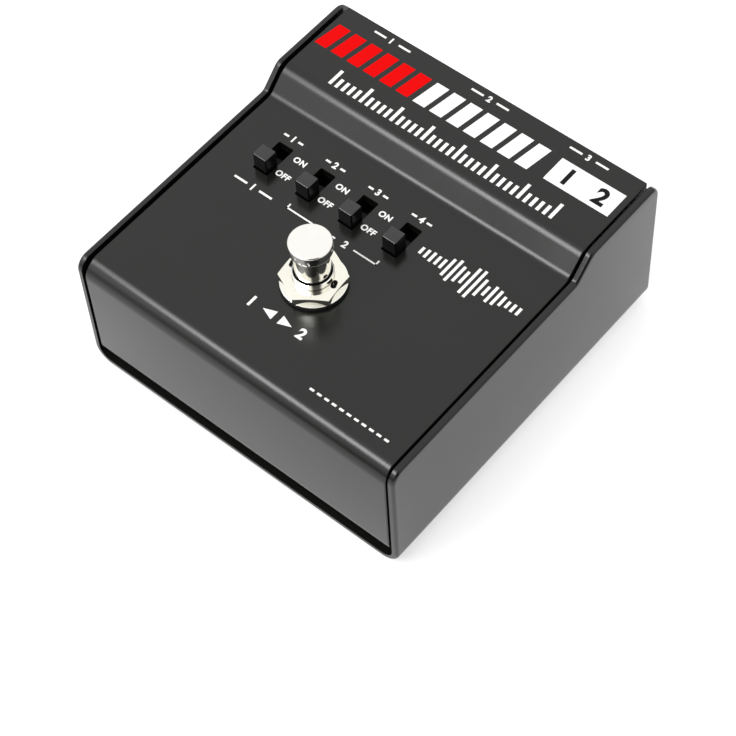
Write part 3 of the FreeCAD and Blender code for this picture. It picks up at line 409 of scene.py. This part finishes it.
# %% Give every solid its finish
by_slot = {"case_coat": case_coat, "cover_coat": cover_coat, "panel_coat": panel_coat,
           "pad_rubber": rubber, "plated_steel": zinc, "black_screw": black_zinc,
           "nickel": nickel, "nut_nickel": nut_nickel, "switch_moulding": switch_blue,
           "spring_steel": spring_wire, "tinned_contact": tin, "gold_contact": gold,
           "die_cast_black": die_cast, "insert_black": insert_black, "latch_steel": latch_black,
           "board_green": varnish, "transformer_can": can_steel,
           "capacitor_red": capacitor_red, "ribbon_grey": ribbon_grey,
           "wire_jacket": wire_jacket, "slide_steel": darkened_strip_steel, "wafer_brown": wafer_brown,
           "lever_black": lever_black}
slot_of = {part["node"]: part["material_slot"] for part in frame["record"]["subparts"]}


def coat(obj, material):
    """Put one material on the whole of an object."""
    obj.data.materials.clear()
    obj.data.materials.append(material)


def link(obj):
    """Put an object into the scene."""
    bpy.context.scene.collection.objects.link(obj)
    return obj


def dress(obj, material, slot, body, *stands_for):
    """Finish, body and what the piece stands for, in one line per piece. The slot is not used.
    """
    coat(obj, material)
    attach(obj, body)
    if stands_for:
        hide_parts(*stands_for)
    return obj


for name, solid in nodes.items():
    coat(solid, by_slot[slot_of[name]])
print("finishes given:", len(nodes))

# %% [markdown]
# ## Smoother surfaces
# A solid arrives as loose triangles, so its bends show flat facets in a glossy finish. Where
# that would show, a welded copy with smooth shading stands in for it: the same points, merged,
# and kept sharp only where two faces meet at more than about twenty degrees.

# %% Weld and smooth the bent and turned solids
def smooth_copy(node, sharp_degrees=22.0):
    """Welded, smooth-shaded copy that stands in for a solid.

    Points that round to the same step of a very fine grid become one, and a triangle that
    loses a corner by it is dropped.
    """
    weld_mm = 0.002
    rough = nodes[node].data
    corner = np.empty(len(rough.vertices) * 3, dtype=np.float32)
    rough.vertices.foreach_get("co", corner)
    corner = corner.reshape(-1, 3)
    steps = np.round(corner / (weld_mm * MM)).astype(np.int64)
    _, first, inverse = np.unique(steps, axis=0, return_index=True, return_inverse=True)
    faces = np.empty(len(rough.polygons) * 3, dtype=np.int32)
    rough.loops.foreach_get("vertex_index", faces)
    faces = inverse.reshape(-1)[faces].reshape(-1, 3)
    alive = ((faces[:, 0] != faces[:, 1]) & (faces[:, 1] != faces[:, 2])
             & (faces[:, 2] != faces[:, 0]))
    mesh = bpy.data.meshes.new(node + "_smooth")
    mesh.from_pydata(corner[first].tolist(), [], faces[alive].tolist())
    mesh.validate()
    mesh.shade_smooth()
    mesh.set_sharp_from_angle(angle=math.radians(sharp_degrees))
    obj = link(bpy.data.objects.new(node + "_smooth", mesh))
    slot = slot_of[node]
    return dress(obj, by_slot[slot], slot, nodes[node]["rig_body"], node)


smoothed = ["base_channel", "top_cover", "rear_panel",
            "first_input_shell", "second_input_shell", "output_shell",
            "first_input_insert", "second_input_insert", "output_insert", "output_pins",
            "first_input_latch", "second_input_latch", "connector_screws", "cover_screws",
            "panel_screws", "non_slip_pad", "signal_wires", "first_transformer",
            "second_transformer"]
smoothed += ["slide_%d_lever" % k for k in slides]
for node in smoothed:
    smooth_copy(node)
print("smoothed:", len(smoothed))

# %% [markdown]
# The spring stands on the switch's body. Its top ring moves with the button, but here it is only
# a smooth copy with its own mesh; the length that the travel leaves it is printed.

# %% Spring
press = next(joint for joint in frame["joints"] if joint["name"] == "button_press")
travel = max(abs(limit) for limit in press["range_m"]) / MM
spring_foot = edge("footswitch_spring", 0, "z")
spring_length = edge("footswitch_spring", 1, "z") - spring_foot
spring = smooth_copy("footswitch_spring")
1 - travel / spring_length
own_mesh(spring)
print("spring: %.2f mm free, %.2f mm pressed" % (spring_length, spring_length - travel))

# %% [markdown]
# The nut's top is a shallow cone, only sixteen degrees off flat, so its copy stays sharp from
# ten degrees. Its spanner holes and the ring between the neck's mouth and the stem get painted
# shade: the faces whose middle lies in such a ring and below the rim get a dark colour that
# stands in for the shade inside them.

# %% Nut and neck
def shade_ring(obj, low_radius, high_radius, rim, depth):
    """Painted shade: dark colour on faces between two radii about the switch's axis, just below
    a rim.
    """
    clear_of_rim = 0.02
    mesh = obj.data
    mesh.materials.append(painted_hole_shade)
    middles = np.empty(len(mesh.polygons) * 3)
    mesh.polygons.foreach_get("center", middles)
    middles = middles.reshape(-1, 3) / MM - np.array([0.0, switch_y, rim])
    reach = np.hypot(middles[:, 0], middles[:, 1])
    below = (middles[:, 2] < -clear_of_rim) & (middles[:, 2] > -depth)
    inside = (reach > low_radius) & (reach < high_radius) & below
    mesh.polygons.foreach_set("material_index", inside.astype(np.int32))
    return int(inside.sum())


hole_ring, hole_depth = (6.2, 7.7), 1.7
mouth_ring, mouth_depth = (5.0, 5.75), 20.0
nut = smooth_copy("footswitch_top_nut", 10.0)
hole_faces = shade_ring(nut, *hole_ring, edge("footswitch_top_nut", 1, "z"), hole_depth)
neck = smooth_copy("footswitch_bushing")
mouth_faces = shade_ring(neck, *mouth_ring, edge("footswitch_bushing", 1, "z"), mouth_depth)
print("faces inside the holes and the mouth:", hole_faces, mouth_faces)

# %% [markdown]
# ## Turned pieces
# The footswitch's button and washer are round about the switch's axis, so each is a profile
# turned about it: a grid with the profile along one side and the angle along the other. The
# corners of a profile are real arcs, which is what makes the thin bright lines on their edges.

# %% Profiles and surfaces of revolution
def arc_corners(points, radii):
    """Profile with each corner cut by a tangent arc of its radius.

    A corner with half angle h between its two sides has its arc's centre on the bisector at
    radius / sin h, and touches each side at radius / tan h from the corner.
    """
    steps = 6
    points = np.asarray(points, dtype=float)
    out = [points[:1]]
    for index in range(1, len(points) - 1):
        radius = radii[index]
        back = points[index - 1] - points[index]
        ahead = points[index + 1] - points[index]
        back /= np.linalg.norm(back)
        ahead /= np.linalg.norm(ahead)
        half = math.acos(np.clip(back @ ahead, -1, 1)) / 2
        bisector = (back + ahead) / np.linalg.norm(back + ahead)
        centre = points[index] + bisector * radius / math.sin(half)
        first = points[index] + back * radius / math.tan(half) - centre
        last = points[index] + ahead * radius / math.tan(half) - centre
        share = np.linspace(0, 1, steps + 1)[:, None]
        sweep = math.acos(np.clip(first @ last / radius ** 2, -1, 1))
        arc = (np.sin((1 - share) * sweep) * first + np.sin(share * sweep) * last)
        out.append(centre + arc / math.sin(sweep))
    out.append(points[-1:])
    return np.concatenate(out)


def finish_mesh(mesh):
    """Drop unused points, close the seam, face outwards and keep sharp edges sharp."""
    seam, sharp_degrees = 0.0005 * MM, 40.0
    work = bmesh.new()
    work.from_mesh(mesh)
    loose = [vertex for vertex in work.verts if not vertex.link_faces]
    bmesh.ops.delete(work, geom=loose, context="VERTS")
    bmesh.ops.remove_doubles(work, verts=work.verts, dist=seam)
    bmesh.ops.recalc_face_normals(work, faces=work.faces)
    work.to_mesh(mesh)
    work.free()
    mesh.shade_smooth()
    mesh.set_sharp_from_angle(angle=math.radians(sharp_degrees))


def turned(name, profile, count=128):
    """Surface of revolution about the switch's axis.

    Point (i, j) is the profile's radius i along (cos a, sin a) from the axis, at the
    profile's height i, with a = 2 pi j / count. Rows of no radius become one shared pole.
    """
    profile = np.asarray(profile, dtype=float)
    angle = np.linspace(0, 2 * math.pi, count, endpoint=False)
    ring = np.stack([np.cos(angle), np.sin(angle), np.zeros(count)], axis=1)
    radius, height = profile[:, 0], profile[:, 1]
    grid = radius[:, None, None] * ring[None] + np.array([0.0, switch_y, 0.0])
    grid[..., 2] += height[:, None]
    index = np.arange(len(profile) * count).reshape(len(profile), count)
    poles = radius < 1e-9
    index[poles] = index[poles, :1]
    lower, upper = index[:-1], index[1:]
    quads = np.stack([lower, np.roll(lower, -1, 1), np.roll(upper, -1, 1), upper], axis=2)
    faces = [list(dict.fromkeys(face)) for face in quads.reshape(-1, 4).tolist()]
    mesh = bpy.data.meshes.new(name)
    mesh.from_pydata((grid.reshape(-1, 3) * MM).tolist(), [], faces)
    finish_mesh(mesh)
    return link(bpy.data.objects.new(name, mesh))


# %% [markdown]
# The button is one turned piece: a collar at its foot, which the spring pushes up, a stem and
# a flat head. Its widest corner arc is the head's upper one, where the plating gleams.

# %% Button
button_top = edge("footswitch_button", 1, "z")
button_foot = edge("footswitch_button", 0, "z")
head_r, stem_r, collar_r = radius_of("footswitch_button"), 5.25, 6.0
head_foot = button_top - 3.5
collar_top = button_foot + 2
profile = [(0, button_foot), (collar_r, button_foot), (collar_r, collar_top),
           (stem_r, collar_top), (stem_r, head_foot), (head_r, head_foot),
           (head_r, button_top), (0, button_top)]
corner_arcs = [0, 0.2, 0.2, 0.1, 0.25, 0.35, 0.55, 0]
button = turned("button_turned", arc_corners(profile, corner_arcs), 160)
dress(button, nickel, "nickel", "button", "footswitch_button")
print("button from %.1f to %.1f mm" % (button_foot, button_top))

# %% [markdown]
# The washer is punched from bright sheet. The faces on its rim get the painted shade of the
# holes, a dark colour standing in for the shadow round the nut's foot, and the top stays bright.

# %% Washer under the nut
washer_r = radius_of("footswitch_top_washer")
washer_low = edge("footswitch_top_washer", 0, "z")
washer_high = edge("footswitch_top_washer", 1, "z")
washer_bore = 6.1
rim_wide, rim_depth = 0.12, 2.0
ring = [(washer_bore, washer_low), (washer_r, washer_low), (washer_r, washer_high),
        (washer_bore, washer_high), (washer_bore, washer_low)]
washer = turned("washer_turned", arc_corners(ring, [0, 0.1, 0.25, 0.1, 0]))
dress(washer, washer_nickel, "plated_steel", "case", "footswitch_top_washer")
# Painted shade on the rim: the faces round the washer's edge take the dark hole colour.
rim_faces = shade_ring(washer, washer_r - rim_wide, washer_r + 1, washer_high, rim_depth)
print("washer radius %.2f mm, faces on its punched rim: %d" % (washer_r, rim_faces))

# %% [markdown]
# ## Printed marks
# The marks are screen printed: a film of ink a few hundredths of a millimetre thick. Each mark
# is a flat shape on the deck, thickened by that much. Bars, ticks, dashes and plain numbers
# label the sockets and switches. Their places are in millimetres, across from the middle and
# back from just behind the front bend's face.

# %% Inks and films
def ink(name, colour):
    """Screen ink: even, dull colour that shows the powder coat's peel through it."""
    peel_mm, thin_mm = 0.8, 0.25
    material, wire, shader = new_finish(name)
    where = place(wire)
    peel = grain(wire, where, peel_mm)
    thin = grain(wire, where, thin_mm)
    plug(shader, "Base Color", between(wire, thin, shade(colour, 0.86), colour))
    plug(shader, "Roughness", 0.42 + thin * 0.1)
    plug(shader, "Normal", bump(wire, peel, 0.008))
    shader.inputs["Specular IOR Level"].default_value = 0.04
    return material


white_ink = ink("white_ink", (0.86, 0.86, 0.85))
red_ink = ink("red_ink", (0.70, 0.001, 0.0015))
black_ink = ink("black_ink", (0.012, 0.012, 0.012))
ink_film = 0.03
slide_row = 62.3
ruler_start = slide_y - slide_row
print("inks mixed: white, red and black")


def ink_piece(name, flats, faces, height, material):
    """Film of ink: flat points (x, y) in mm, y from just behind the front bend's face."""
    flats = np.asarray(flats, dtype=float)
    solid = np.c_[flats[:, 0], flats[:, 1] + ruler_start, np.full(len(flats), height)] * MM
    mesh = bpy.data.meshes.new(name)
    mesh.from_pydata(solid.tolist(), [], faces)
    obj = link(bpy.data.objects.new(name, mesh))
    film = obj.modifiers.new("film", "SOLIDIFY")
    film.thickness = ink_film * MM
    film.offset = 1.0
    return dress(obj, material, "cover_coat", "case")


def bars(name, lefts, width, low, high, height, material, slant=0.0):
    """Row of upright bars: parallelograms whose tops lean by slant times their height."""
    lefts = np.asarray(lefts, dtype=float)
    width = np.broadcast_to(width, lefts.shape)
    low = np.broadcast_to(low, lefts.shape)
    high = np.broadcast_to(high, lefts.shape)
    lean = slant * (high - low)
    flats = np.stack([np.stack([lefts, low], 1), np.stack([lefts + width, low], 1),
                      np.stack([lefts + width + lean, high], 1),
                      np.stack([lefts + lean, high], 1)], axis=1)
    faces = np.arange(len(lefts) * 4).reshape(-1, 4).tolist()
    return ink_piece(name, flats.reshape(-1, 2), faces, height, material)


# %% [markdown]
# Numbers and words start as text curves. Each is made a mesh, and only then scaled to the
# height asked for and centred by its own extent, so the font's own size doesn't matter.

# %% Numbers and words
def word(name, text, centre, tall):
    """Flat lettering made a mesh, then scaled to a height and centred by its own extent."""
    bold, letter_spacing = 0.038, 1.1
    curve = bpy.data.curves.new(name, "FONT")
    curve.body = text
    curve.offset = bold
    curve.space_character = letter_spacing
    sketch = link(bpy.data.objects.new(name + "_sketch", curve))
    view = bpy.context.evaluated_depsgraph_get()
    mesh = bpy.data.meshes.new_from_object(sketch.evaluated_get(view))
    bpy.data.objects.remove(sketch)
    points = np.empty(len(mesh.vertices) * 3)
    mesh.vertices.foreach_get("co", points)
    points = points.reshape(-1, 3)[:, :2]
    low, high = points.min(0), points.max(0)
    points = (points - (low + high) / 2) * tall / (high[1] - low[1]) + np.array(centre)
    faces = [list(face.vertices) for face in mesh.polygons]
    return points, faces


def words(name, items, tall, height, material):
    """Several words as one film of ink."""
    points, faces = [], []
    for text, centre in items:
        more, shape = word(name, text, centre, tall)
        start = sum(len(part) for part in points)
        points.append(more)
        faces += [[start + corner for corner in face] for face in shape]
    return ink_piece(name, np.concatenate(points), faces, height, material)


# %% [markdown]
# The upper deck carries one broad row of slanted bars, red on the left and white on the right,
# and a box with two numbers in black. A scale of ticks runs in front of them, and each socket
# behind has its number between two dashes.

# %% Marks on the upper deck
bar_pitch, bar_wide, bar_slant = 6.2, 4.4, 0.16
bar_foot, bar_top = 99.6, 109.4
for name, start, count, colour in (("title_red_bars", -54.0, 6, red_ink),
                                   ("title_white_bars", -16.6, 7, white_ink)):
    bars(name, start + bar_pitch * np.arange(count), bar_wide, bar_foot, bar_top, high_deck,
         colour, bar_slant)
bars("title_box", [30.6], 22.4, 100.0, 109.2, high_deck, white_ink)
words("title_box_numbers", [("1", (36.0, 104.6)), ("2", (47.6, 104.6))], 6.2,
      high_deck + ink_film, black_ink)

tick_foot, short_tick_top, tall_tick_top = 89.8, 93.4, 95.9
ticks = np.arange(-40.4, 41.0, 2.3)
tick_tops = np.where(np.arange(len(ticks)) % 5 == 0, tall_tick_top, short_tick_top)
bars("title_scale", ticks, 1.1, tick_foot, tick_tops, high_deck, white_ink)

words("connector_numbers", [("1", (-36.0, 113.7)), ("2", (0.8, 113.7)), ("3", (36.4, 113.7))],
      2.3, high_deck, white_ink)
bars("connector_dashes", [-42.4, -33.2, -5.8, 3.4, 29.8, 39.0], 4.4, 113.35, 114.05, high_deck,
     white_ink)
print("upper deck printed, ticks on the scale:", len(ticks))

# %% [markdown]
# On the lower deck each slide switch has its number at the back, and the first three have ON
# and OFF at their right. A dashed number and a bracket in front of them tell which socket they
# belong to. Two arrows and two numbers stand before the footswitch, and a wave of bars and a
# row of dashes fill the right side.

# %% Marks for the slide switches
number_row, on_row, off_row = 71.4, 66.1, 59.3
words("slide_numbers", [(str(k), (x, number_row)) for k, x in zip(slides, slide_x)], 2.4,
      low_deck, white_ink)
side_dashes = [x + shift for x in slide_x for shift in (-3.6, 1.8)]
bars("slide_dashes", side_dashes, 1.8, 71.05, 71.75, low_deck, white_ink)
words("slide_on_words", [("ON", (x + 7.0, on_row)) for x in slide_x[:3]], 2.1, low_deck,
      white_ink)
words("slide_off_words", [("OFF", (x + 6.4, off_row)) for x in slide_x[:3]], 2.1, low_deck,
      white_ink)
words("bank_numbers", [("1", (-36.0, 50.8)), ("2", (-1.8, 51.3))], 2.5, low_deck, white_ink)
bars("bank_dashes", [-43.0, -33.6], 4.8, 50.45, 51.15, low_deck, white_ink)
bracket_foot, line_top, end_top = 50.95, 51.45, 52.8
bars("bracket_lines", [-23.6, 1.3, -23.6, 9.2], [18.2, 8.4, 0.5, 0.5], bracket_foot,
     [line_top, line_top, end_top, end_top], low_deck, white_ink)
print("slide switches labelled:", len(slide_x))

# %% Marks for the footswitch and on the right
arrow_row, arrow_half = 20.5, 1.6
words("footswitch_numbers", [("1", (-9.6, arrow_row)), ("2", (8.6, arrow_row))], 3.7, low_deck,
      white_ink)
low, high = arrow_row - arrow_half, arrow_row + arrow_half
arrow_points = [(-1.4, low), (-1.4, high), (-5.6, arrow_row),
                (0.8, low), (5.0, arrow_row), (0.8, high)]
ink_piece("footswitch_arrows", arrow_points, [[0, 1, 2], [3, 4, 5]], low_deck, white_ink)

wave_row, wave_middle, wave_spread = 63.0, 33, 9.5
wave_lefts = 16.0 + 1.9 * np.arange(19)
hill = np.exp(-((wave_lefts - wave_middle) / wave_spread) ** 2)
swell = 1.2 + 4.6 * hill * np.abs(np.cos(wave_lefts * 1.25))
bars("wave_bars", wave_lefts, 0.9, wave_row - swell, wave_row + swell, low_deck, white_ink)
bars("front_dashes", 22.0 + 2.6 * np.arange(11), 1.5, 8.0, 8.7, low_deck, white_ink)
print("lower deck printed, bars in the wave:", len(wave_lefts))

# %% [markdown]
# ## Studio
# Black gloss shows the room, not the light: every grey on the coat is a mirrored piece of it.
# So the room is planned by what each face looks at. The decks see the tent's roof, the front
# and the side see the pale floor close by, and the bends sweep through the dim foot of the tent
# and past two lamps at the front left, which draw the bright lines along them. The floor glows a
# little: painted light, a pool brightest round the box and growing to the rear right.

# %% Floor
def floor_card(half_m, top_mm, painted_glow_low, painted_glow_high):
    """Pale card with painted light: a glow that fades away from the box and grows to the rear
    right.
    """
    fibre_mm = 40.0
    fade_start, fade_end = 150.0, 600.0
    rear_right, growth_start, growth_end = (0.8, 0.6, 0.0), -60.0, 110.0
    top = top_mm * MM
    mesh = bpy.data.meshes.new("floor_card")
    mesh.from_pydata([(-half_m, -half_m, top), (half_m, -half_m, top), (half_m, half_m, top),
                      (-half_m, half_m, top)], [], [[0, 1, 2, 3]])
    obj = link(bpy.data.objects.new("floor_card", mesh))
    material, wire, shader = new_finish("floor_card")
    where = place(wire)
    fibre = grain(wire, where, fibre_mm, 3.0)
    plug(shader, "Base Color", between(wire, fibre, (0.54, 0.54, 0.54), (0.56, 0.56, 0.56)))
    # Painted light: the card's glow is a pool round the box that grows towards the rear right.
    painted_pool_fade = ramp(wire, where.length(), fade_start, fade_end, 1.0, 0.0)
    painted_glow_growth = ramp(wire, where.dot(rear_right), growth_start, growth_end, painted_glow_low, painted_glow_high)
    plug(shader, "Emission Color", painted_pool_fade * painted_glow_growth)
    shader.inputs["Emission Strength"].default_value = 1.0
    shader.inputs["Roughness"].default_value = 0.9
    coat(obj, material)


floor_card(3.0, -0.1, 0.50, 0.66)
print("floor laid")


# %% [markdown]
# The tent is the world's own colour, worked out from the direction alone: a smooth step in
# height joins the dim foot to the bright roof, and a dark upright band is the gap that the
# camera looks in through.

# %% Tent
def white_tent(roof, gap_azimuth, panel_way, panel_glow):
    """World: a bright roof over a foot that dims from left to right.

    The tent's gap, where the camera looks in, is a dark upright band, and a soft panel stands
    low at the front left.
    """
    world = bpy.data.worlds.new("tent")
    world.use_nodes = True
    wire = Wire(world.node_tree)
    way = wire.node("TexCoord")
    right, _, up = way.along_axes()
    level = wire.node("VectorMath", {"operation": "MULTIPLY"}, {0: way, 1: (1.0, 1.0, 0.0)})
    level = wire.node("VectorMath", {"operation": "NORMALIZE"}, {0: level})
    turn = math.radians(gap_azimuth)
    to_gap = level.dot((math.cos(turn), math.sin(turn), 0.0))
    foot = ramp(wire, right, -0.60, -0.32, 0.95, 0.30)
    panel = ramp(wire, way.dot(panel_way), 0.95, 0.985, 0.0, panel_glow)
    glow = ramp(wire, up, 0.08, 0.42, foot, roof) + panel
    gap = ramp(wire, to_gap, 0.85, 0.96, 0.0, 0.95) * ramp(wire, up, 0.86, 0.95, 1.0, 0.0)
    plug(world.node_tree.nodes["Background"], "Color", glow * (1.0 - gap))
    bpy.context.scene.world = world


white_tent(1.05, -35, (-0.624, -0.624, 0.470), 0.7)
print("tent hung")


# %% Lamps
def lamp(name, azimuth, elevation, distance, size, radiance):
    """Rectangular lamp that faces the box. Its power is pi times its area and radiance."""
    box_middle = Vector((0, 0, 0.03))
    data = bpy.data.lights.new(name, "AREA")
    data.shape = "RECTANGLE"
    data.size, data.size_y = size
    data.energy = math.pi * size[0] * size[1] * radiance
    obj = link(bpy.data.objects.new(name, data))
    turn, tilt = math.radians(azimuth), math.radians(elevation)
    way = Vector((math.cos(tilt) * math.cos(turn), math.cos(tilt) * math.sin(turn),
                  math.sin(tilt)))
    obj.location = box_middle + way * distance
    obj.rotation_euler = way.to_track_quat("Z", "Y").to_euler()


lamp("wide_lamp", -125, 51, 1.50, (1.6, 0.38), 4.2)
lamp("near_lamp", -110, 51, 1.45, (1.0, 0.38), 6.6)
bpy.context.scene.view_settings.view_transform = "Standard"
print("lamps lit")

# %% [markdown]
# ## Camera
# The camera stands where the photograph was taken from: high, to the right of the front
# corner, with a long lens and a slight roll. Its place and the point that it looks at are in
# millimetres.

# %% Camera
def photo_camera(eye, aim, roll_degrees, lens):
    data = bpy.data.cameras.new("photo_camera")
    data.lens = lens
    data.sensor_width = 36.0
    data.clip_start = 0.05
    data.clip_end = 20.0
    obj = link(bpy.data.objects.new("photo_camera", data))
    forward = (Vector(aim) - Vector(eye)).normalized()
    turn = forward.to_track_quat("-Z", "Y").to_matrix().to_4x4()
    obj.matrix_world = (Matrix.Translation(Vector(eye) * MM) @ turn
                        @ Matrix.Rotation(math.radians(roll_degrees), 4, "Z"))
    bpy.context.scene.camera = obj


photo_camera((265.08, -286.13, 554.36), (30.075, -35.883, 47.9), -4.098, 110.6)
print("camera placed")
